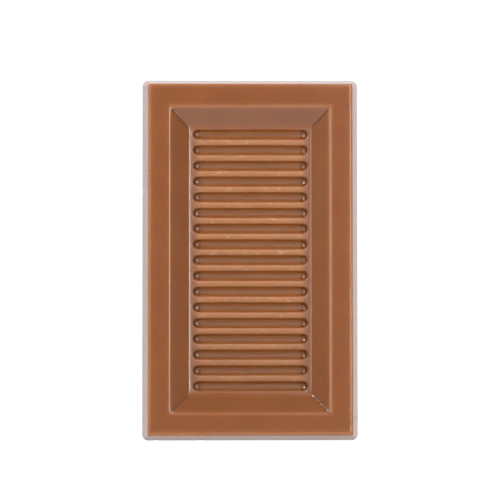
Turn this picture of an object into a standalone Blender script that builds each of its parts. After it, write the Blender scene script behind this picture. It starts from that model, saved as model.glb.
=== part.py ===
"""A moulded milk chocolate bar, lying face up.

A flat border runs round a sunken panel. The panel's four sides slope down to a field of round-ended
grooves that run across the bar, and the outer walls lean in, as they must to leave the mould.

Frame: origin at the centre of the flat back, +Z up, +Y along the bar's length, +X across it.
"""

import math

import bmesh
import bpy

MM = 0.001

# Driving dimensions, in millimetres
LENGTH = 110.13
WIDTH = 65.88
THICKNESS = 9.0
WALL_LEAN = 2.25
BORDER_INSET = 8.72
SLOPE_RUN = 6.13
PANEL_DEPTH = 2.6
PANEL_STRETCH = -0.12
GROOVE_COUNT = 17
GROOVE_PITCH = 4.752
GROOVE_WIDTH = 2.96
GROOVE_LENGTH = 34.9
GROOVE_DEPTH = 1.25
GROOVE_WALL_ANGLE = math.radians(68)

# Radii of the rounded edges and hollows, in millimetres
BACK_EDGE_RADIUS = 0.2
OUTER_EDGE_RADIUS = 0.9
BORDER_EDGE_RADIUS = 1.2
PANEL_FOOT_RADIUS = 3.0
GROOVE_RIM_RADIUS = 0.45
GROOVE_FLOOR_RADIUS = 1.42

# Corner radius in plan, as pairs of a distance in from the foot of the wall and the radius there
CORNER_RADII = ((0.0, 1.9), (WALL_LEAN, 0.6), (4.0, 0.5), (BORDER_INSET, 0.9), (LENGTH, 0.45))

CORNER_SEGMENTS = 5
EDGE_SEGMENTS = 4
GROOVE_END_SEGMENTS = 10

# How far the groove cutters stand above the field, so that no face of theirs lies in it
CUTTER_RISE = 0.008
CUTTER_FLARE = 0.15
CUTTER_TOP = 1.0

FIELD_HEIGHT = THICKNESS - PANEL_DEPTH
CHOCOLATE_COLOUR = (0.30, 0.115, 0.045, 1.0)
CHOCOLATE_ROUGHNESS = 0.3


def fillet(before, corner, after, radius):
    """Points of the arc that rounds a corner of an outline, where each point is a pair of numbers."""
    to_before = math.atan2(before[1] - corner[1], before[0] - corner[0])
    to_after = math.atan2(after[1] - corner[1], after[0] - corner[0])
    opening = (to_after - to_before + math.pi) % (2 * math.pi) - math.pi
    middle = to_before + opening / 2
    reach = radius / abs(math.sin(opening / 2))
    centre_x = corner[0] + reach * math.cos(middle)
    centre_y = corner[1] + reach * math.sin(middle)
    turn = math.copysign(math.pi, opening) - opening
    start = middle + math.pi + turn / 2
    points = []
    for i in range(EDGE_SEGMENTS + 1):
        angle = start - turn * i / EDGE_SEGMENTS
        points.append((centre_x + radius * math.cos(angle), centre_y + radius * math.sin(angle)))
    return points


def rounded_profile(corners):
    """An open line through (distance, height, radius) corners, with each corner between its ends rounded."""
    points = [corners[0][:2]]
    for before, corner, after in zip(corners, corners[1:], corners[2:]):
        if corner[2] > 0:
            points += fillet(before[:2], corner[:2], after[:2], corner[2])
        else:
            points.append(corner[:2])
    points.append(corners[-1][:2])
    return points


def corner_radius(inset):
    """Plan radius of the bar's corners at a distance in from the foot of the wall."""
    for (near, near_radius), (far, far_radius) in zip(CORNER_RADII, CORNER_RADII[1:]):
        if inset <= far:
            share = (inset - near) / (far - near)
            return near_radius + (far_radius - near_radius) * share
    return CORNER_RADII[-1][1]


def rounded_rectangle(inset):
    """The bar's outline moved in by a distance, counter-clockwise from above."""
    radius = corner_radius(inset)
    stretch = PANEL_STRETCH if inset > BORDER_INSET / 2 else 0.0
    half_x = WIDTH / 2 - inset - radius
    half_y = LENGTH / 2 - inset - radius + stretch
    ring = []
    for quarter, (side_x, side_y) in enumerate(((1, 1), (-1, 1), (-1, -1), (1, -1))):
        for i in range(CORNER_SEGMENTS + 1):
            angle = math.pi / 2 * (quarter + i / CORNER_SEGMENTS)
            x = side_x * half_x + radius * math.cos(angle)
            y = side_y * half_y + radius * math.sin(angle)
            ring.append((x, y))
    return ring


def groove_outline(reach, centre_y):
    """A round-ended outline at a reach from a groove's middle line, counter-clockwise from above."""
    half_line = (GROOVE_LENGTH - GROOVE_WIDTH) / 2
    ring = []
    for side, start in ((1, -math.pi / 2), (-1, math.pi / 2)):
        for i in range(GROOVE_END_SEGMENTS + 1):
            angle = start + math.pi * i / GROOVE_END_SEGMENTS
            x = side * half_line + reach * math.cos(angle)
            y = centre_y + reach * math.sin(angle)
            ring.append((x, y))
    return ring


def loft(bm, rings):
    """A closed skin through (outline, height) rings with the same number of points, first cap to last."""
    loops = [[bm.verts.new((x * MM, y * MM, z * MM)) for x, y in outline] for outline, z in rings]
    for low, high in zip(loops, loops[1:]):
        for i in range(len(low)):
            j = (i + 1) % len(low)
            bm.faces.new((low[i], low[j], high[j], high[i]))
    bm.faces.new(list(reversed(loops[0])))
    bm.faces.new(loops[-1])


def add_object(name, bm, collection):
    bmesh.ops.recalc_face_normals(bm, faces=bm.faces)
    mesh = bpy.data.meshes.new(name)
    bm.to_mesh(mesh)
    bm.free()
    obj = bpy.data.objects.new(name, mesh)
    collection.objects.link(obj)
    return obj


def make_block(collection):
    """The bar before its grooves are cut: back, leaning wall, flat border, slopes and sunken field."""
    foot = BORDER_INSET + SLOPE_RUN
    profile = rounded_profile(
        (
            (1.0, 0.0, 0),
            (0.0, 0.0, BACK_EDGE_RADIUS),
            (WALL_LEAN, THICKNESS, OUTER_EDGE_RADIUS),
            (BORDER_INSET, THICKNESS, BORDER_EDGE_RADIUS),
            (foot, FIELD_HEIGHT, PANEL_FOOT_RADIUS),
            (foot + 1.0, FIELD_HEIGHT, 0),
        )
    )
    bm = bmesh.new()
    loft(bm, [(rounded_rectangle(inset), z) for inset, z in profile])
    return add_object("chocolate_bar", bm, collection)


def groove_profile():
    """Half a groove's section, from the middle of its round floor, up the wall and out over the rim."""
    top = FIELD_HEIGHT + CUTTER_RISE
    floor = FIELD_HEIGHT - GROOVE_DEPTH
    rim = GROOVE_WIDTH / 2
    wall_foot = rim - (top - floor) / math.tan(GROOVE_WALL_ANGLE)
    mouth = rim + GROOVE_RIM_RADIUS * math.tan(GROOVE_WALL_ANGLE / 2)
    return rounded_profile(
        (
            (0.0, floor, 0),
            (wall_foot, floor, GROOVE_FLOOR_RADIUS),
            (rim, top, GROOVE_RIM_RADIUS),
            (mouth + CUTTER_RISE, top, 0),
            (mouth + CUTTER_FLARE, top + CUTTER_FLARE, 0),
            (mouth + CUTTER_FLARE, top + CUTTER_TOP, 0),
        )
    )[1:]


def make_groove_cutters(collection):
    """The hollows of all the grooves as one cutter, evenly spaced about the middle of the bar."""
    profile = groove_profile()
    bm = bmesh.new()
    for n in range(GROOVE_COUNT):
        centre_y = (n - (GROOVE_COUNT - 1) / 2) * GROOVE_PITCH
        loft(bm, [(groove_outline(reach, centre_y), z) for reach, z in profile])
    cutter = add_object("groove_cutters", bm, collection)
    cutter.hide_render = True
    cutter.display_type = "WIRE"
    return cutter


def make_chocolate():
    material = bpy.data.materials.new("milk_chocolate")
    material.use_nodes = True
    shader = material.node_tree.nodes["Principled BSDF"]
    shader.inputs["Base Color"].default_value = CHOCOLATE_COLOUR
    shader.inputs["Roughness"].default_value = CHOCOLATE_ROUGHNESS
    shader.inputs["Metallic"].default_value = 0.0
    return material


def new_collection(name):
    collection = bpy.data.collections.new(name)
    bpy.context.scene.collection.children.link(collection)
    return collection


def main():
    for obj in list(bpy.data.objects):
        bpy.data.objects.remove(obj)
    bar = make_block(new_collection("chocolate_bar_part"))
    cut = bar.modifiers.new("grooves", "BOOLEAN")
    cut.operation = "DIFFERENCE"
    cut.solver = "EXACT"
    cut.object = make_groove_cutters(new_collection("cutters"))
    bar.data.materials.append(make_chocolate())
    bar.data.shade_smooth()
    bar.data.set_sharp_from_angle(angle=math.radians(30))


main()
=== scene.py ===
"""A moulded milk chocolate bar on a white table in soft studio light, seen from almost straight above.

The bar is one closed mesh. Rings of points run from its back up the walls and over the border to the
sunken field, where each groove has its own cell of rings. The points' heights come from one section of
the bar, so the mesh has the form of the solid that it replaces, with finer edges and a moulded surface.
All sizes here are in millimetres, until the mesh is made. The camera, lights and table are in metres.
"""

import math

import bpy
import numpy as np
from mathutils import Matrix, Vector


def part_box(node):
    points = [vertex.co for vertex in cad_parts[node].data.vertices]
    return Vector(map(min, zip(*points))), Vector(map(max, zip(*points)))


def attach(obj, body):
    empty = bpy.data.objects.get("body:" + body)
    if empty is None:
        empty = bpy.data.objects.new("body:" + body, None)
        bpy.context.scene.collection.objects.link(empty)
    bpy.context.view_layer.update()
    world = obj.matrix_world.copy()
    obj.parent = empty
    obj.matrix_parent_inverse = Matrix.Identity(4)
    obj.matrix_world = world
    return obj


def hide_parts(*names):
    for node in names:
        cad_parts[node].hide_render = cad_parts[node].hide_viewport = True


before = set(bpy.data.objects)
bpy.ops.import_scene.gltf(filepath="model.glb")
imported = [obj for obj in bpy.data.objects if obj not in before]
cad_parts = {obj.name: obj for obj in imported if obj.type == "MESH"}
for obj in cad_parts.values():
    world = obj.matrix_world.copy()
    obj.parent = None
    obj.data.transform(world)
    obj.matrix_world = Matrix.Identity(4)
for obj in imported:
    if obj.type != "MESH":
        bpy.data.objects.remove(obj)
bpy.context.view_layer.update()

MM = 0.001

bar_low, bar_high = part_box("chocolate_bar")

# Thickness and leaning walls of the bar, as its solid has them
THICKNESS = (bar_high[2] - bar_low[2]) / MM
WALL_LEAN = 2.25
WALL_ANGLE = math.atan2(THICKNESS, WALL_LEAN)
BACK_EDGE_RADIUS = 0.2

# Length and width at the walls' sharp foot, which is past the bar's box, since the back edge is rounded
BACK_EDGE_GAIN = BACK_EDGE_RADIUS * (1 / math.tan(WALL_ANGLE / 2) - 1)
LENGTH = (bar_high[1] - bar_low[1]) / MM + 2 * BACK_EDGE_GAIN
WIDTH = (bar_high[0] - bar_low[0]) / MM + 2 * BACK_EDGE_GAIN

# Form of the moulded face, as its solid has it but for small changes of radius and length
BORDER_INSET = 8.72
SLOPE_RUN = 6.13
PANEL_DEPTH = 2.6
PANEL_STRETCH = -0.03
GROOVE_COUNT = 17
GROOVE_PITCH = 4.752
GROOVE_WIDTH = 2.96
GROOVE_LENGTH = 34.7
GROOVE_DEPTH = 1.25
GROOVE_WALL_ANGLE = math.radians(68)
OUTER_EDGE_RADIUS = 0.7
BORDER_EDGE_RADIUS = 1.3
SOFT_BORDER_EDGE_RADIUS = 2.8
PANEL_FOOT_RADIUS = 3.0
GROOVE_RIM_RADIUS = 0.45
GROOVE_FLOOR_RADIUS = 1.42
BACK_CORNER_RADIUS = 1.9
TOP_CORNER_RADIUS = 0.6
MITRE_RADIUS = 0.06
ROUND_MITRE_RADIUS = 0.3
RIM_CORNER_RADIUS = 1.0

FIELD_HEIGHT = THICKNESS - PANEL_DEPTH
PANEL_FOOT = BORDER_INSET + SLOPE_RUN
HALF_GROOVE_LINE = (GROOVE_LENGTH - GROOVE_WIDTH) / 2
GROOVE_MOUTH = GROOVE_WIDTH / 2 + GROOVE_RIM_RADIUS * math.tan(GROOVE_WALL_ANGLE / 2)
RIB_WIDTH = GROOVE_PITCH - 2 * GROOVE_MOUTH

# How the moulded face differs from its exact form. A settling is a shift along one axis, by place on it
SETTLE_Y = ((40.6, 46.4, 52.0), (-0.2, -0.09, 0.0))
SETTLE_X = ((-30.0, -25.0, -17.0, -15.5), (0.0, -0.1, -0.1, 0.0))
GROOVE_CENTRE_X = 0.08
SINK = 0.03
RIB_CROWN = 0.07

# Where one form passes into the next: bands as pairs of distances, and reaches
SOFT_BORDER_BAND = (-24.5, -22.0)
RIM_CORNER_BAND = (BORDER_INSET + 0.2, BORDER_INSET + 1.6)
MITRE_REACH = 0.7
RIB_END = HALF_GROOVE_LINE + 0.9
RIB_END_FADE = 1.4
OUTER_RIB_FADE = 0.3

# Where the bottom right mitre is rounder: distance in, reach along it and gain in radius
MITRE_SWELLS = ((13.9, 0.45, 0.8), (12.65, 0.22, 0.45), (11.55, 0.22, 0.45))

# Small pits in the bottom right mitre, where the chocolate let go of the mould: place, radius and depth
PITS = (
    ((18.75, -40.9), 0.66, 0.09),
    ((20.05, -42.25), 0.36, 0.045),
    ((21.15, -43.35), 0.34, 0.042),
)

# Small dents in the walls: side as an outward direction, place along it, height, length and depth
DENTS = (
    ((0, -1), -15.2, 1.3, 1.1, 0.34),
    ((0, -1), -28.6, 1.0, 0.8, 0.26),
    ((0, -1), 11.5, 1.2, 0.6, 0.2),
    ((1, 0), -3.2, 1.2, 0.9, 0.26),
    ((1, 0), -48.0, 1.4, 1.2, 0.3),
    ((-1, 0), 21.0, 1.1, 0.7, 0.2),
)

# A dent's reach up and down, and how near to its side a ring's points have to be to move with it
DENT_HEIGHT = 0.9
DENTED_BAND = 3.0

# Fineness of the mesh
CELL_SIDE_STEPS = 12
ACROSS_STEPS = 92
ALONG_STEPS = CELL_SIDE_STEPS * GROOVE_COUNT
CORNER_STEPS = 12
ARC_STEPS = 48
EDGE_STEPS = 6
WALL_STEPS = 14

# The rings of a groove's cell: their shares of the way from its edge to the groove's mouth, how far in
# from the mouth the steep wall goes, and the steps down the wall and over the floor
APRON_SHARES = (0.0, 0.33, 0.67)
GROOVE_WALL_REACH = 0.56
GROOVE_WALL_STEPS = 6
GROOVE_FLOOR_STEPS = 8

# The rings of the moulded face: where they start, and how many steps they take to each next inset
BORDER_START = WALL_LEAN + 1.2
CELL_EDGE = LENGTH / 2 + PANEL_STRETCH - GROOVE_COUNT * GROOVE_PITCH / 2
RIM_REACH = 0.6
FOOT_REACH = 0.62
RING_STOPS = (
    (BORDER_INSET - RIM_REACH, 11),
    (BORDER_INSET + RIM_REACH, 14),
    (PANEL_FOOT - FOOT_REACH, 21),
    (CELL_EDGE, 5),
)

# Corners of those rings: their radius, over what distance they come to it, and how fast they close
RING_CORNER_RADIUS = 0.9
RING_CORNER_REACH = 3.0
RING_CORNER_CLOSING = 3

# The poured back: how far in its rim is, and steps in from there with their share of the corner's radius
BACK_INSET = 0.6
BACK_STEPS = ((0.5, 0.8), (1.0, 0.6), (1.7, 0.3), (2.6, 0.0))
BACK_REACH = BACK_STEPS[-1][0]
BACK_RISE = 0.02

# How fast the waves of the top die away down the walls
WALL_WAVE_POWER = 6


def fillet(before, corner, after, radius, steps):
    """Points of the arc that rounds a corner of an outline, where each point is a pair of numbers."""
    to_before = math.atan2(before[1] - corner[1], before[0] - corner[0])
    to_after = math.atan2(after[1] - corner[1], after[0] - corner[0])
    opening = (to_after - to_before + math.pi) % (2 * math.pi) - math.pi
    middle = to_before + opening / 2
    reach = radius / abs(math.sin(opening / 2))
    centre_x = corner[0] + reach * math.cos(middle)
    centre_y = corner[1] + reach * math.sin(middle)
    turn = math.copysign(math.pi, opening) - opening
    start = middle + math.pi + turn / 2
    angles = [start - turn * i / steps for i in range(steps + 1)]
    return [(centre_x + radius * math.cos(a), centre_y + radius * math.sin(a)) for a in angles]


def rounded_profile(corners, steps):
    """An array of (distance, height) points through corners of (distance, height, radius)."""
    points = [corners[0][:2]]
    for before, corner, after in zip(corners, corners[1:], corners[2:]):
        points += fillet(before[:2], corner[:2], after[:2], corner[2], steps)
    points.append(corners[-1][:2])
    return np.array(points)


def panel_profile(border_edge_radius):
    """Height of the top against distance in: border, slope and field."""
    corners = (
        (0.0, THICKNESS),
        (BORDER_INSET, THICKNESS, border_edge_radius),
        (PANEL_FOOT, FIELD_HEIGHT, PANEL_FOOT_RADIUS),
        (LENGTH, FIELD_HEIGHT),
    )
    return rounded_profile(corners, ARC_STEPS)


def groove_profile():
    """Depth of a groove against distance from its middle line."""
    rim = GROOVE_WIDTH / 2
    wall_foot = rim - GROOVE_DEPTH / math.tan(GROOVE_WALL_ANGLE)
    corners = (
        (0.0, -GROOVE_DEPTH),
        (wall_foot, -GROOVE_DEPTH, GROOVE_FLOOR_RADIUS),
        (rim, 0.0, GROOVE_RIM_RADIUS),
        (LENGTH, 0.0),
    )
    return rounded_profile(corners, ARC_STEPS)


PANEL_LINE = panel_profile(BORDER_EDGE_RADIUS)
SOFT_PANEL_LINE = panel_profile(SOFT_BORDER_EDGE_RADIUS)
GROOVE_LINE = groove_profile()


def along_profile(line, distance):
    """Height of a profile at a distance."""
    return np.interp(distance, line[:, 0], line[:, 1])


def ease(value, low, high):
    """0 below low, 1 above high, and a smooth rise between."""
    share = np.clip((value - low) / (high - low), 0.0, 1.0)
    return share * share * (3 - 2 * share)


def hump(value, reach):
    """1 where a value is 0, falling to 0 on both sides of it."""
    return np.exp(-((value / reach) ** 2))


class Waves:
    """A smooth uneven surface: many plane waves in random directions, of wavelengths in a range."""

    def __init__(self, seed, shortest, longest, height, count=28):
        draw = np.random.default_rng(seed)
        heading = draw.uniform(0, 2 * math.pi, count)
        number = 2 * math.pi / np.exp(draw.uniform(math.log(shortest), math.log(longest), count))
        self.kx = number * np.cos(heading)
        self.ky = number * np.sin(heading)
        self.phase = draw.uniform(0, 2 * math.pi, count)
        self.height = height * math.sqrt(2 / count)

    def at(self, x, y):
        """Heights of the surface at places."""
        total = np.zeros_like(x)
        for kx, ky, phase in zip(self.kx, self.ky, self.phase):
            total += np.sin(kx * x + ky * y + phase)
        return total * self.height


LONG_WAVES = Waves(seed=3, shortest=9.0, longest=30.0, height=0.01)
SHORT_WAVES = Waves(seed=5, shortest=1.6, longest=5.0, height=0.0022)
BACK_WAVES = Waves(seed=7, shortest=5.0, longest=16.0, height=0.035)
MITRE_WAVES = Waves(seed=11, shortest=1.1, longest=2.4, height=0.012)


def dented(plan, height):
    """A ring of the wall, moved in where the wall has a dent."""
    plan = plan.copy()
    for (side_x, side_y), along, middle, length, depth in DENTS:
        outward = plan[:, 0] * side_x + plan[:, 1] * side_y
        half_bar = WIDTH / 2 if side_x else LENGTH / 2
        place = plan[:, 1] if side_x else plan[:, 0]
        share = hump(place - along, length) * hump(height - middle, DENT_HEIGHT)
        share = share * (outward > half_bar - DENTED_BAND)
        plan -= np.outer(share * depth, (side_x, side_y))
    return plan


def settled(x, y):
    """Points of the moulded face's plan, moved to where its exact form has them."""
    return x - np.interp(x, *SETTLE_X), y - np.interp(np.abs(y), *SETTLE_Y)


def insets(x, y):
    """Distances in from the sides and from the ends, at points of the exact form."""
    return WIDTH / 2 - np.abs(x), LENGTH / 2 + PANEL_STRETCH - np.abs(y)


def above_groove(y):
    """How far points lie to +Y of the nearest groove's middle line."""
    number = np.clip(np.round(y / GROOVE_PITCH), -(GROOVE_COUNT // 2), GROOVE_COUNT // 2)
    return y - number * GROOVE_PITCH


def from_groove(x, y):
    """Distance from the nearest groove's middle line."""
    past_end = np.maximum(np.abs(x - GROOVE_CENTRE_X) - HALF_GROOVE_LINE, 0.0)
    return np.hypot(past_end, above_groove(y))


def rib_share(x, y):
    """1 on the ribs between grooves, falling to 0 at their ends and past the first and last groove."""
    along = np.clip((RIB_END - np.abs(x)) / RIB_END_FADE, 0.0, 1.0)
    outer_groove = (GROOVE_COUNT // 2) * GROOVE_PITCH
    beyond = np.clip((outer_groove - np.abs(y)) / OUTER_RIB_FADE, 0.0, 1.0)
    return along * beyond


def by_round_mitre(x, y):
    """Whether points are in the bar's bottom right quarter, which has the rounder mitre."""
    return (x > 0) & (y < 0)


def mitred_inset(x, y):
    """Distance in from the nearest side. The mitres are rounded, and open to a round corner at the rim."""
    in_x, in_y = insets(x, y)
    inset = np.minimum(in_x, in_y)
    rounder = sum(gain * hump(inset - place, reach) for place, reach, gain in MITRE_SWELLS)
    radius = np.where(by_round_mitre(x, y), ROUND_MITRE_RADIUS + rounder, MITRE_RADIUS)
    by_rim = 1 - ease(inset, *RIM_CORNER_BAND)
    radius = radius + (RIM_CORNER_RADIUS - radius) * by_rim
    # by the mitre, an arc of the radius joins the two slopes
    apart = np.abs(in_x - in_y)
    bend = np.sqrt(np.maximum(2 * radius**2 - apart**2, 0.0))
    return np.where(apart < radius, (in_x + in_y + bend) / 2 - radius, inset)


def panel_height(x, inset):
    """Height of the border, slopes and field, with a sharper rim on the left."""
    sharp = along_profile(PANEL_LINE, inset)
    soft = along_profile(SOFT_PANEL_LINE, inset)
    return sharp + ease(x, *SOFT_BORDER_BAND) * (soft - sharp)


def groove_relief(x, y):
    """Height of the grooves, and of the crowned ribs between them, from the field."""
    from_line = from_groove(x, y)
    off_rib = np.minimum(np.abs(GROOVE_PITCH - 2 * from_line) / RIB_WIDTH, 1.0)
    return along_profile(GROOVE_LINE, from_line) - RIB_CROWN * rib_share(x, y) * off_rib**2


def mitre_wave_share(x, y, inset):
    """How much the waves of the round mitre count: 1 along its line, and 0 away from it."""
    in_x, in_y = insets(x, y)
    on_slope = np.clip(np.minimum(inset - BORDER_INSET, PANEL_FOOT - inset), 0.0, 1.0)
    by_mitre = np.clip(1 - np.abs(in_x - in_y) / MITRE_REACH, 0.0, 1.0)
    return on_slope * by_mitre * by_round_mitre(x, y)


def top_height(x, y):
    """Height of the moulded face above the table at points of its plan."""
    exact_x, exact_y = settled(x, y)
    inset = mitred_inset(exact_x, exact_y)
    height = panel_height(exact_x, inset) + groove_relief(exact_x, exact_y)
    height = height - SINK + LONG_WAVES.at(x, y) + SHORT_WAVES.at(x, y)
    height = height + MITRE_WAVES.at(x, y) * mitre_wave_share(exact_x, exact_y, inset)
    for (pit_x, pit_y), radius, depth in PITS:
        height = height - depth * hump(np.hypot(x - pit_x, y - pit_y), radius)
    return np.minimum(height, THICKNESS)


# Where the material changes, as heights, bands of distances and reaches, and by how much
TOP_FROM = 0.5
WALL_FROM = 0.02
FIELD_BAND = (PANEL_FOOT, PANEL_FOOT + 0.5)
# painted shade: the field darker towards its -Y end
FALLOFF_SHADE_BAND = (4.0, 38.0)
RIB_BAND = (GROOVE_WIDTH / 2 - 0.15, GROOVE_MOUTH - 0.1)
RIB_END_SHARE = 0.1
FLOOR_BAND = (1.3, 1.65)
UPPER_SIDE_BAND = (0.2, 1.15)
LOWER_SIDE_BAND = (0.4, 1.2)
# painted light on the grooves' upper and lower sides
UPPER_SIDE_LIGHT = 0.6
LOWER_SIDE_LIGHT = 0.28
GROOVE_END_BAND = (HALF_GROOVE_LINE - 2.0, HALF_GROOVE_LINE + 0.6)
GROOVE_END_WIDTH_BAND = (1.1, 1.5)
SLOPE_TOP_BAND = (BORDER_INSET - 0.3, BORDER_INSET + 1.5)
MITRE_FOOT_BAND = (-0.2, 1.0)
END_SLOPE_FOOT_BAND = (-0.2, 1.6)
SIDE_BAND = (-0.3, 0.3)
UPPER_MITRE_SHIFT = -0.35
MITRE_LINE_REACH = 0.52
WALL_BAND = (WALL_LEAN - 0.8, WALL_LEAN - 0.2)
EDGE_GLOW_BAND = (WALL_LEAN - 0.85, WALL_LEAN - 0.3)
EDGE_GLOW_INSET = WALL_LEAN + 0.25
GLOW_REACH = 0.55

# How strong the painted glow is along the outer edge and the inner rim: on the left, right, bottom and top
EDGE_GLOW_SHARES = (0.9, 0.65, 1.4, 0.6)
RIM_GLOW_SHARES = (0.35, 0.7, 0.4, 0.75)


def by_side(x, y, at_end, values):
    """The value of the side that each point is at, from values for left, right, bottom and top."""
    left, right, bottom, top = values
    return np.where(at_end, np.where(y > 0, top, bottom), np.where(x > 0, right, left))


def glow_and_wall_masks(x, y, outer_x, outer_y):
    """Painted glow along the outer edge and the inner rim, and the walls, with the one at the bottom
    duller.
    """
    in_x, in_y = insets(*settled(x, y))
    outer = np.minimum(outer_x, outer_y)
    # painted glow: the outer edge is lighter, standing in for light shining through it
    edge = ease(outer, *EDGE_GLOW_BAND) * np.exp(-np.maximum(outer - EDGE_GLOW_INSET, 0) / GLOW_REACH)
    edge = edge * by_side(x, y, outer_y < outer_x, EDGE_GLOW_SHARES)
    # painted highlight: the inner rim is lighter
    rim = hump(np.minimum(in_x, in_y) - BORDER_INSET, GLOW_REACH)
    rim = rim * by_side(x, y, in_y < in_x, RIM_GLOW_SHARES)
    wall = 1 - ease(outer, *WALL_BAND)
    return {
        "glow": np.maximum(edge, rim),
        "wall": wall,
        "dull_wall": wall * (y < 0) * ease(outer_x - outer_y, *SIDE_BAND),
    }


def slope_masks(x, y):
    """The slopes and the lines along their mitres, both darkened with painted shade; the bottom left mitre
    is duller.
    """
    in_x, in_y = insets(x, y)
    inset = np.minimum(in_x, in_y)
    # painted shade over the slopes, easing in below the rim
    slope = ease(inset, *SLOPE_TOP_BAND)
    at_side = ease(in_y - in_x, *SIDE_BAND)
    mitre_shift = np.where(y > 0, UPPER_MITRE_SHIFT, 0.0)
    # painted shade along the mitres' creases
    mitre = slope * ease(PANEL_FOOT - inset, *MITRE_FOOT_BAND)
    mitre = mitre * hump(in_x - in_y - mitre_shift, MITRE_LINE_REACH)
    return {
        "slope": slope * np.maximum(at_side, ease(PANEL_FOOT - inset, *END_SLOPE_FOOT_BAND)),
        "mitre": mitre,
        "dull_mitre": mitre * ((x < 0) & (y < 0)),
    }


def field_masks(x, y):
    """The sunken field, and in it the ribs, the grooves' floors and their ends."""
    field = ease(np.minimum(*insets(x, y)), *FIELD_BAND)
    from_line = from_groove(x, y)
    rib = ease(from_line, *RIB_BAND) * (RIB_END_SHARE + (1 - RIB_END_SHARE) * rib_share(x, y))
    groove_end = ease(np.abs(x - GROOVE_CENTRE_X), *GROOVE_END_BAND)
    groove_end = groove_end * (1 - ease(from_line, *GROOVE_END_WIDTH_BAND))
    return {
        "field": field,
        # painted shade, darker towards the field's -Y end
        "falloff_shade": field * ease(-y, *FALLOFF_SHADE_BAND),
        "rib": field * rib,
        # painted shade in the grooves' floors
        "floor": field * (1 - ease(from_line, *FLOOR_BAND)),
        "groove_end": field * groove_end,
    }


def masks(points):
    """What the material has to know of each point's place, from 0 to 1 but where the glow goes past 1."""
    x, y, z = points.T
    outer_x, outer_y = WIDTH / 2 - np.abs(x), LENGTH / 2 - np.abs(y)
    exact_x, exact_y = settled(x, y)
    top = z > TOP_FROM
    found = glow_and_wall_masks(x, y, outer_x, outer_y)
    found["glow"] = found["glow"] * top
    for name in ("wall", "dull_wall"):
        found[name] = found[name] * (z > WALL_FROM)
    for name, mask in {**slope_masks(exact_x, exact_y), **field_masks(exact_x, exact_y)}.items():
        found[name] = mask * top
    above_line = above_groove(exact_y)
    # painted light on the grooves' sides, more on the upper side
    found["groove_side_light"] = UPPER_SIDE_LIGHT * ease(above_line, *UPPER_SIDE_BAND)
    found["groove_side_light"] += LOWER_SIDE_LIGHT * ease(-above_line, *LOWER_SIDE_BAND)
    return found


# Points that agree to this many decimals of a millimetre are one point
MERGED_DECIMALS = 4


class MeshMaker:
    """Collects points and faces, and joins rings of points with quads."""

    def __init__(self):
        self.points = []
        self.faces = []
        self.count = 0

    def add(self, points):
        """Adds points and returns their numbers."""
        numbers = np.arange(self.count, self.count + len(points))
        self.points.append(np.asarray(points, float))
        self.count += len(points)
        return numbers

    def add_top(self, plan):
        """Adds points of the moulded face from their places in its plan."""
        return self.add(raised(plan, top_height(plan[:, 0], plan[:, 1])))

    def join(self, ring, next_ring):
        """Quads between two closed rings of point numbers."""
        after = np.roll(ring, -1)
        next_after = np.roll(next_ring, -1)
        self.faces.append(np.stack([ring, after, next_after, next_ring], axis=1))

    def skin(self, rings):
        """Quads between each closed ring and the next."""
        for ring, next_ring in zip(rings, rings[1:]):
            self.join(ring, next_ring)

    def grid(self, numbers):
        """Quads between the rows of a table of point numbers."""
        corners = [numbers[:-1, :-1], numbers[:-1, 1:], numbers[1:, 1:], numbers[1:, :-1]]
        self.faces.append(np.stack([c.ravel() for c in corners], axis=1))

    def mesh(self, name):
        """The finished mesh in metres, with points that coincide merged."""
        points = np.concatenate(self.points) * MM
        places = np.round(points / MM, MERGED_DECIMALS)
        _, first, number = np.unique(places, axis=0, return_index=True, return_inverse=True)
        faces = number.reshape(-1)[np.concatenate(self.faces)]
        lists = []
        for face in faces.tolist():
            kept = [p for i, p in enumerate(face) if p != face[i - 1]]
            if len(kept) > 2:
                lists.append(kept)
        mesh = bpy.data.meshes.new(name)
        mesh.from_pydata(points[first].tolist(), [], lists)
        mesh.validate()
        mesh.shade_smooth()
        for mask_name, values in masks(points[first] / MM).items():
            mask = mesh.attributes.new(mask_name, "FLOAT", "POINT")
            mask.data.foreach_set("value", values.astype(np.float32))
        return mesh


def raised(plan, height):
    """Points of a plan at a height, or at a height for each point."""
    return np.column_stack([plan, np.broadcast_to(height, len(plan))])


def outline(half_x, half_y, radius):
    """A closed rounded rectangle, counter-clockwise from above, from the right side's lower end."""
    line_x, line_y = half_x - radius, half_y - radius
    along = line_y * np.linspace(-1, 1, ALONG_STEPS + 1)
    across = line_x * np.linspace(-1, 1, ACROSS_STEPS + 1)
    turn = np.linspace(0, math.pi / 2, CORNER_STEPS + 1)[1:-1]

    def corner(sign_x, sign_y, start):
        x = sign_x * line_x + radius * np.cos(start + turn)
        y = sign_y * line_y + radius * np.sin(start + turn)
        return np.column_stack([x, y])

    right = np.column_stack([np.full(len(along), half_x), along])
    top = np.column_stack([-across, np.full(len(across), half_y)])
    return np.concatenate([
        right,
        corner(1, 1, 0.0),
        top,
        corner(-1, 1, math.pi / 2),
        -right,
        corner(-1, -1, math.pi),
        -top,
        corner(1, -1, 1.5 * math.pi),
    ])


def wall_section():
    """Points of (distance in, height) from the back's edge up the wall and over to the flat border."""
    corners = (
        (BACK_INSET, 0.0),
        (0.0, 0.0, BACK_EDGE_RADIUS),
        (WALL_LEAN, THICKNESS, OUTER_EDGE_RADIUS),
        (BORDER_START, THICKNESS),
    )
    line = rounded_profile(corners, EDGE_STEPS)
    wall_top = EDGE_STEPS + 2
    foot, head = line[wall_top - 1], line[wall_top]
    climb = [foot + (head - foot) * i / WALL_STEPS for i in range(1, WALL_STEPS)]
    return np.concatenate([line[:wall_top], climb, line[wall_top:]])


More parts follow.
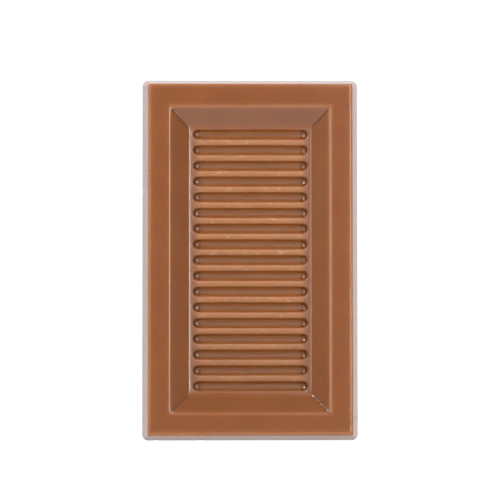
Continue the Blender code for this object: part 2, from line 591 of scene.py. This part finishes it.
def add_wall(maker):
    """Rings of the wall. It meets the waves of the top at its upper edge, and is flat by the table."""
    rings = []
    for inset, height in wall_section():
        share = min(max(inset, 0.0) / WALL_LEAN, 1.0)
        radius = BACK_CORNER_RADIUS + (TOP_CORNER_RADIUS - BACK_CORNER_RADIUS) * share
        plan = dented(outline(WIDTH / 2 - inset, LENGTH / 2 - inset, radius), height)
        lift = np.clip(height / THICKNESS, 0.0, 1.0) ** WALL_WAVE_POWER
        rise = LONG_WAVES.at(plan[:, 0], plan[:, 1]) + SHORT_WAVES.at(plan[:, 0], plan[:, 1]) - SINK
        rings.append(maker.add(raised(plan, np.minimum(height + rise * lift, THICKNESS))))
    return rings


def add_panel(maker):
    """Rings over the border and down the slopes, to the cells of the grooves."""
    rings = []
    start = BORDER_START
    for stop, steps in RING_STOPS:
        for inset in np.linspace(start, stop, steps + 1)[1:]:
            share = min((inset - BORDER_START) / RING_CORNER_REACH, 1.0)
            radius = TOP_CORNER_RADIUS + (RING_CORNER_RADIUS - TOP_CORNER_RADIUS) * share
            radius = min(radius, RING_CORNER_CLOSING * (CELL_EDGE - inset))
            plan = outline(WIDTH / 2 - inset, LENGTH / 2 + PANEL_STRETCH * share - inset, radius)
            plan[:, 1] += np.interp(np.abs(plan[:, 1]), *SETTLE_Y)
            rings.append(maker.add_top(plan))
        start = stop
    return rings


def groove_spine(edge):
    """For each point of a cell's edge, a point of the groove's middle line and the way out from it."""
    spine_x = np.clip(edge[:, 0], -HALF_GROOVE_LINE, HALF_GROOVE_LINE)
    past = np.abs(edge[:, 0]) > HALF_GROOVE_LINE
    turning = int(past.sum()) // 2
    heading = np.where(edge[:, 1] > 0, math.pi / 2, -math.pi / 2)
    # the points past the groove's straight stretch turn round its ends, those of the left end first
    fan = (np.arange(turning) + 1) / (turning + 1) * math.pi - math.pi / 2
    start = -int(np.argmax(~past & (edge[:, 1] > 0)))
    numbers = np.roll(np.arange(len(edge)), start)
    ends = [number for number in numbers if past[number]]
    heading[ends[:turning]] = fan + math.pi
    heading[ends[turning:]] = fan
    way = np.column_stack([np.cos(heading), np.sin(heading)])
    spine = np.column_stack([spine_x + GROOVE_CENTRE_X, np.zeros(len(edge))])
    return spine, way


def add_groove_cell(maker, centre_y):
    """Rings from a cell's rectangle in to the middle line of its groove, all with as many points."""
    half_field = WIDTH / 2 - CELL_EDGE
    across = np.linspace(-half_field, half_field, ACROSS_STEPS + 1)
    up = np.linspace(-GROOVE_PITCH / 2, GROOVE_PITCH / 2, CELL_SIDE_STEPS + 1)
    right = np.column_stack([np.full(CELL_SIDE_STEPS, half_field), up[:-1]])
    top = np.column_stack([-across[:-1], np.full(ACROSS_STEPS, GROOVE_PITCH / 2)])
    edge = np.concatenate([right, top, -right, -top])
    spine, way = groove_spine(edge)
    mouth = spine + way * GROOVE_MOUTH
    floor_reach = GROOVE_MOUTH - GROOVE_WALL_REACH
    reaches = np.concatenate([
        np.linspace(GROOVE_MOUTH, floor_reach, GROOVE_WALL_STEPS + 1),
        np.linspace(floor_reach, 0.0, GROOVE_FLOOR_STEPS + 1)[1:],
    ])
    plans = [edge + (mouth - edge) * share for share in APRON_SHARES]
    plans += [spine + way * reach for reach in reaches]
    centre = np.array([0.0, centre_y])
    maker.skin([maker.add_top(plan + centre) for plan in plans])


def back_height(x, y, step):
    """Height of the poured back above the table, at a step in from its rim."""
    return BACK_RISE * step + np.abs(BACK_WAVES.at(x, y)) * min(step / BACK_REACH, 1.0)


def add_back(maker, rim):
    """The poured back: flat at its rim, and a little uneven inside it."""
    half_x, half_y = WIDTH / 2 - BACK_INSET, LENGTH / 2 - BACK_INSET
    rings = [rim]
    for step, share in BACK_STEPS:
        plan = outline(half_x - step, half_y - step, BACK_CORNER_RADIUS * share)
        rings.append(maker.add(raised(plan, back_height(plan[:, 0], plan[:, 1], step))))
    for ring, next_ring in zip(rings, rings[1:]):
        maker.join(next_ring, ring)
    x = np.linspace(-1, 1, ACROSS_STEPS + 1) * (half_x - BACK_REACH)
    y = np.linspace(-1, 1, ALONG_STEPS + 1) * (half_y - BACK_REACH)
    table = np.meshgrid(x, y)
    plan = np.column_stack([values.ravel() for values in table])
    numbers = maker.add(raised(plan, back_height(plan[:, 0], plan[:, 1], BACK_REACH)))
    maker.grid(numbers.reshape(table[0].shape)[:, ::-1])


def build_bar():
    """The mesh of the whole bar."""
    maker = MeshMaker()
    rings = add_wall(maker) + add_panel(maker)
    maker.skin(rings)
    for n in range(GROOVE_COUNT):
        add_groove_cell(maker, (n - GROOVE_COUNT // 2) * GROOVE_PITCH + SETTLE_Y[1][0])
    add_back(maker, rings[0])
    return maker.mesh("chocolate_bar_surface")


class Shading:
    """Short ways to add and link the nodes of one material."""

    def __init__(self, name):
        self.material = bpy.data.materials.new(name)
        self.material.use_nodes = True
        self.tree = self.material.node_tree
        self.shader = self.tree.nodes["Principled BSDF"]
        place = self.tree.nodes.new("ShaderNodeTexCoord")
        self.place = place.outputs["Object"]

    def put(self, socket, value):
        """Links a socket to another node's, or sets its number or colour."""
        if isinstance(value, bpy.types.NodeSocket):
            self.tree.links.new(value, socket)
        elif isinstance(value, tuple):
            socket.default_value = (*value, 1.0)
        else:
            socket.default_value = value

    def math(self, operation, *values):
        """What an operation makes of its values."""
        node = self.tree.nodes.new("ShaderNodeMath")
        node.operation = operation
        for socket, value in zip(node.inputs, values):
            self.put(socket, value)
        return node.outputs[0]

    def plus(self, value, mask, gain):
        """A value with a gain added where a mask is 1."""
        return self.math("ADD", value, self.math("MULTIPLY", mask, gain))

    def attribute(self, name):
        """A value that the mesh carries at its points."""
        node = self.tree.nodes.new("ShaderNodeAttribute")
        node.attribute_name = name
        return node.outputs["Fac"]

    def noise(self, size, detail=2.0, roughness=0.5, stretch=(1.0, 1.0, 1.0)):
        """Noise of about a size in millimetres, from 0 to 1, stretched along each axis."""
        mapping = self.tree.nodes.new("ShaderNodeMapping")
        self.put(mapping.inputs["Vector"], self.place)
        mapping.inputs["Scale"].default_value = [1 / (size * MM * s) for s in stretch]
        node = self.tree.nodes.new("ShaderNodeTexNoise")
        node.inputs["Scale"].default_value = 1.0
        node.inputs["Detail"].default_value = detail
        node.inputs["Roughness"].default_value = roughness
        self.put(node.inputs["Vector"], mapping.outputs[0])
        return node.outputs["Fac"]

    def span(self, value, from_range, to_range):
        """A value's range mapped on another, held at its ends."""
        node = self.tree.nodes.new("ShaderNodeMapRange")
        for socket, number in zip(node.inputs, (value, *from_range, *to_range)):
            self.put(socket, number)
        return node.outputs[0]

    def mix(self, share, first, second, blend="MIX"):
        """One colour mixed into another, by a share."""
        node = self.tree.nodes.new("ShaderNodeMix")
        node.data_type = "RGBA"
        node.blend_type = blend
        colour_sockets = (node.inputs[0], node.inputs[6], node.inputs[7])
        for socket, value in zip(colour_sockets, (share, first, second)):
            self.put(socket, value)
        return node.outputs[2]

    def times(self, colour, factor):
        """A colour made lighter or darker by a factor."""
        return self.mix(1.0, colour, factor, "MULTIPLY")

    def bump(self, height, distance, strength):
        """A finely uneven surface, of a depth in millimetres."""
        node = self.tree.nodes.new("ShaderNodeBump")
        self.put(node.inputs["Strength"], strength)
        self.put(node.inputs["Distance"], distance * MM)
        self.put(node.inputs["Height"], height)
        return node.outputs[0]


# Colours of the chocolate, by place: the edge, rib, slope, floor, mitre and groove end colours paint light
# or shade
PLAIN_COLOUR = (0.193, 0.0655, 0.0215)
# painted glow of the outer edge and the inner rim
EDGE_GLOW_COLOUR = (0.28, 0.114, 0.044)
# painted glow and sheen: the thin ribs lighter
RIB_GLOW_COLOUR = (0.25, 0.0915, 0.0212)
# painted shade: the grooves' floors darker
FLOOR_SHADE_COLOUR = (0.15, 0.051, 0.0135)
# painted shade: the sunken slopes darker
SLOPE_SHADE_COLOUR = (0.166, 0.0555, 0.0155)
# painted shade in the creases of the mitres
MITRE_SHADE_COLOUR = (0.09, 0.028, 0.008)
# painted shade in the grooves' rounded ends
GROOVE_END_SHADE_COLOUR = (0.112, 0.036, 0.009)
BLOOM_COLOUR = (0.42, 0.27, 0.18)

# Ranges of noise, and the factors by which they change a colour
NOISE_RANGE = (0.3, 0.7)
LINE_RANGE = (0.35, 0.65)
SMUDGE_RANGE = (0.6, 0.72)
SMUDGE_SHARE = 0.5
FLOOR_SHADES = (0.94, 1.06)
RIB_SHADES = (0.93, 1.08)
MOTTLE_SHADES = (0.95, 1.04)
GRAIN_SHADES = (0.97, 1.03)
# how dark the painted shade at the field's -Y end gets
FALLOFF_SHADE = 0.89

# Roughness, and what is added to it in duller places
ROUGHNESS = (0.15, 0.185)
FIELD_ROUGHENING = 0.2
RIB_ROUGHENING = (0.02, 0.1)
DULL_WALL_ROUGHENING = 0.14
DULL_MITRE_ROUGHENING = 0.2
GLOW_ROUGHENING = 0.1

# Mirror shine, and the clear gloss over it on the walls and at the grooves' ends
SHINE = 0.5
DULL_MITRE_SHINE_LOSS = 0.42
FLOOR_SHINE_LOSS = 0.16
WALL_GLOSS = 0.12
GROOVE_END_GLOSS = 0.4
GLOSS_ROUGHNESS = 0.15
REFRACTION = 1.5

# How far red, green and blue light travels under the surface, as shares of a distance in millimetres
LIGHT_SHARES = (1.0, 0.45, 0.2)
LIGHT_TRAVEL = 0.8

PORE_SIZE = 0.35
PORE_DEPTH = 0.004
PORE_STRENGTH = 0.5


def shaded_floor_tone(s):
    """A groove's floor darkened with painted shade, its sides lit with painted light, and fine lines along
    it.
    """
    lines = s.noise(size=0.5, stretch=(14.0, 0.8, 1.0))
    tone = s.times(FLOOR_SHADE_COLOUR, s.span(lines, LINE_RANGE, FLOOR_SHADES))
    return s.times(tone, s.math("ADD", s.attribute("groove_side_light"), 1.0))


def rib_tone(s, streaks):
    """Colour of the ribs, lighter with painted glow and sheen, streaked along their length and with pale
    smudges.
    """
    patches = s.noise(size=1.6, detail=3.0, roughness=0.6, stretch=(1.6, 0.8, 1.0))
    smudge = s.span(patches, SMUDGE_RANGE, (0.0, SMUDGE_SHARE))
    return s.mix(smudge, s.times(RIB_GLOW_COLOUR, s.span(streaks, NOISE_RANGE, RIB_SHADES)), BLOOM_COLOUR)


def chocolate_tone(s, streaks):
    """Colour: painted glow on edges and ribs, painted shade on slopes, mitres and grooves, and softly
    mottled.
    """
    # painted shade on the slopes
    tone = s.mix(s.attribute("slope"), PLAIN_COLOUR, SLOPE_SHADE_COLOUR)
    # painted glow along the outer edge and the inner rim
    tone = s.mix(s.attribute("glow"), tone, EDGE_GLOW_COLOUR)
    # painted shade in the mitres
    tone = s.mix(s.attribute("mitre"), tone, MITRE_SHADE_COLOUR)
    # painted shade on the grooves' floors, with painted light on their sides
    tone = s.mix(s.attribute("floor"), tone, shaded_floor_tone(s))
    # painted shade in the grooves' ends
    tone = s.mix(s.attribute("groove_end"), tone, GROOVE_END_SHADE_COLOUR)
    # painted glow and sheen on the ribs
    tone = s.mix(s.attribute("rib"), tone, rib_tone(s, streaks))
    # painted shade towards the field's -Y end
    tone = s.times(tone, s.span(s.attribute("falloff_shade"), (0.0, 1.0), (1.0, FALLOFF_SHADE)))
    mottle = s.span(s.noise(size=9.0, detail=4.0, roughness=0.6), NOISE_RANGE, MOTTLE_SHADES)
    grain = s.span(s.noise(size=0.5), NOISE_RANGE, GRAIN_SHADES)
    return s.times(tone, s.math("MULTIPLY", mottle, grain))


def chocolate_roughness(s, streaks):
    """Roughness: duller in the field but for the grooves' ends, on ribs, and along the glowing edges and
    rims.
    """
    rough = s.span(s.noise(size=3.0, detail=3.0), NOISE_RANGE, ROUGHNESS)
    in_field = s.math("SUBTRACT", s.attribute("field"), s.attribute("groove_end"))
    rough = s.plus(rough, in_field, FIELD_ROUGHENING)
    rough = s.plus(rough, s.attribute("rib"), s.span(streaks, NOISE_RANGE, RIB_ROUGHENING))
    rough = s.plus(rough, s.attribute("dull_wall"), DULL_WALL_ROUGHENING)
    rough = s.plus(rough, s.attribute("dull_mitre"), DULL_MITRE_ROUGHENING)
    return s.plus(rough, s.attribute("glow"), GLOW_ROUGHENING)


def chocolate_shine(s):
    """Strength of the mirror shine: less on the dull mitre and on the grooves' floors."""
    dull_floor = s.math("SUBTRACT", s.attribute("floor"), s.attribute("groove_end"))
    shine = s.plus(SHINE, s.attribute("dull_mitre"), -DULL_MITRE_SHINE_LOSS)
    return s.plus(shine, dull_floor, -FLOOR_SHINE_LOSS)


def chocolate_gloss(s):
    """Weight of the clear gloss: on all walls but the dull one, and at the grooves' ends."""
    clear_wall = s.math("SUBTRACT", s.attribute("wall"), s.attribute("dull_wall"))
    return s.plus(s.math("MULTIPLY", clear_wall, WALL_GLOSS), s.attribute("groove_end"), GROOVE_END_GLOSS)


def make_chocolate():
    """Milk chocolate, whose look depends on where it is on the bar."""
    s = Shading("milk_chocolate")
    streaks = s.noise(size=1.0, detail=3.0, roughness=0.6, stretch=(4.0, 0.6, 1.0))
    inputs = s.shader.inputs
    s.put(inputs["Base Color"], chocolate_tone(s, streaks))
    s.put(inputs["Roughness"], chocolate_roughness(s, streaks))
    s.put(inputs["Specular IOR Level"], chocolate_shine(s))
    s.put(inputs["Coat Weight"], chocolate_gloss(s))
    s.put(inputs["Normal"], s.bump(s.noise(PORE_SIZE, detail=3.0), PORE_DEPTH, PORE_STRENGTH))
    inputs["Coat Roughness"].default_value = GLOSS_ROUGHNESS
    inputs["IOR"].default_value = REFRACTION
    inputs["Subsurface Weight"].default_value = 1.0
    inputs["Subsurface Radius"].default_value = LIGHT_SHARES
    inputs["Subsurface Scale"].default_value = LIGHT_TRAVEL * MM
    return s.material


def make_bar():
    bar = bpy.data.objects.new("milk_chocolate_bar", build_bar())
    bpy.context.scene.collection.objects.link(bar)
    bar.data.materials.append(make_chocolate())
    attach(bar, "root")
    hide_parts("chocolate_bar")


# Camera: how the photograph was taken
PHOTO_PIXELS = 500
FOCAL_PIXELS = 1634.4
CAMERA_DISTANCE = 0.5
CAMERA_AIM = Vector((0.00002, 0.00304, 0.0))
CAMERA_LEAN = (math.radians(1.66), math.radians(-0.92), 0.0)
SENSOR_WIDTH = 36.0
CLIP_RANGE = (0.01, 20.0)

# The table top, which glows so that it stays white
TABLE_HALF = 2.0
TABLE_DROP = 0.00005
TABLE_COLOUR = (0.1, 0.1, 0.1, 1.0)
TABLE_ROUGHNESS = 0.6
TABLE_GLOW_COLOUR = (0.965, 0.96, 1.0, 1.0)
TABLE_GLOW = 0.97

# Greys of the surroundings, by height above the horizon, where straight up is 1
SKY_STOPS = ((0.0, (0.6, 0.6, 0.6, 1.0)), (0.45, (0.17, 0.17, 0.17, 1.0)))

# Softboxes: how far each stands off to +X and +Y for each metre of height, its two sides and its radiance
LIGHT_HEIGHT = 0.7
LIGHT_COLOUR = (1.0, 0.985, 0.93)
SOFTBOXES = {
    "key_light": ((-0.57, 0.63), (0.23, 0.23), 47.8),
    "right_light": ((0.33, 0.47), (0.2, 0.2), 21.5),
    "right_panel": ((0.445, 0.02), (0.245, 0.32), 10.4),
    "left_panel": ((-0.485, 0.02), (0.3, 0.3), 3.6),
    "front_panel": ((0.0, -0.56), (0.9, 0.43), 1.4),
}


def make_camera():
    data = bpy.data.cameras.new("camera")
    data.sensor_width = SENSOR_WIDTH
    data.lens = SENSOR_WIDTH * FOCAL_PIXELS / PHOTO_PIXELS
    data.clip_start, data.clip_end = CLIP_RANGE
    camera = bpy.data.objects.new("camera", data)
    camera.rotation_mode = "YXZ"
    camera.rotation_euler = CAMERA_LEAN
    back = camera.rotation_euler.to_matrix() @ Vector((0, 0, 1))
    camera.location = CAMERA_AIM + back * CAMERA_DISTANCE
    bpy.context.scene.collection.objects.link(camera)
    bpy.context.scene.camera = camera


def make_floor():
    """A white table top, a hair below the bar."""
    mesh = bpy.data.meshes.new("table_top")
    corners = [(x * TABLE_HALF, y * TABLE_HALF, 0) for x, y in ((-1, -1), (1, -1), (1, 1), (-1, 1))]
    mesh.from_pydata(corners, [], [(0, 1, 2, 3)])
    floor = bpy.data.objects.new("table_top", mesh)
    floor.location.z = -TABLE_DROP
    bpy.context.scene.collection.objects.link(floor)
    material = bpy.data.materials.new("white_table")
    material.use_nodes = True
    shader = material.node_tree.nodes["Principled BSDF"]
    shader.inputs["Base Color"].default_value = TABLE_COLOUR
    shader.inputs["Roughness"].default_value = TABLE_ROUGHNESS
    shader.inputs["Emission Color"].default_value = TABLE_GLOW_COLOUR
    shader.inputs["Emission Strength"].default_value = TABLE_GLOW
    floor.data.materials.append(material)


def add_softbox(name, toward, size, radiance):
    """A rectangular soft light that faces the bar, with its two sides across the bar and along it."""
    data = bpy.data.lights.new(name, "AREA")
    data.shape = "RECTANGLE"
    data.size, data.size_y = size
    data.energy = radiance * math.pi * size[0] * size[1]
    data.color = LIGHT_COLOUR
    light = bpy.data.objects.new(name, data)
    away = Vector((toward[0], toward[1], 1.0))
    light.location = away * LIGHT_HEIGHT
    forward = away.normalized()
    across = Vector((0, 1, 0)).cross(forward).normalized()
    light.rotation_euler = Matrix((across, forward.cross(across), forward)).transposed().to_euler()
    light.visible_camera = False
    bpy.context.scene.collection.objects.link(light)


def make_world():
    """Grey surroundings, by height above the horizon."""
    world = bpy.data.worlds.new("studio")
    world.use_nodes = True
    tree = world.node_tree
    background = tree.nodes["Background"]
    place = tree.nodes.new("ShaderNodeTexCoord")
    split = tree.nodes.new("ShaderNodeSeparateXYZ")
    ramp = tree.nodes.new("ShaderNodeValToRGB")
    for element, (position, colour) in zip(ramp.color_ramp.elements, SKY_STOPS):
        element.position = position
        element.color = colour
    tree.links.new(place.outputs["Generated"], split.inputs[0])
    tree.links.new(split.outputs["Z"], ramp.inputs[0])
    tree.links.new(ramp.outputs[0], background.inputs["Color"])
    background.inputs["Strength"].default_value = 1.0
    bpy.context.scene.world = world


make_camera()
make_bar()
make_floor()
make_world()
for name, (toward, size, radiance) in SOFTBOXES.items():
    add_softbox(name, toward, size, radiance)
bpy.context.scene.view_settings.view_transform = "Standard"
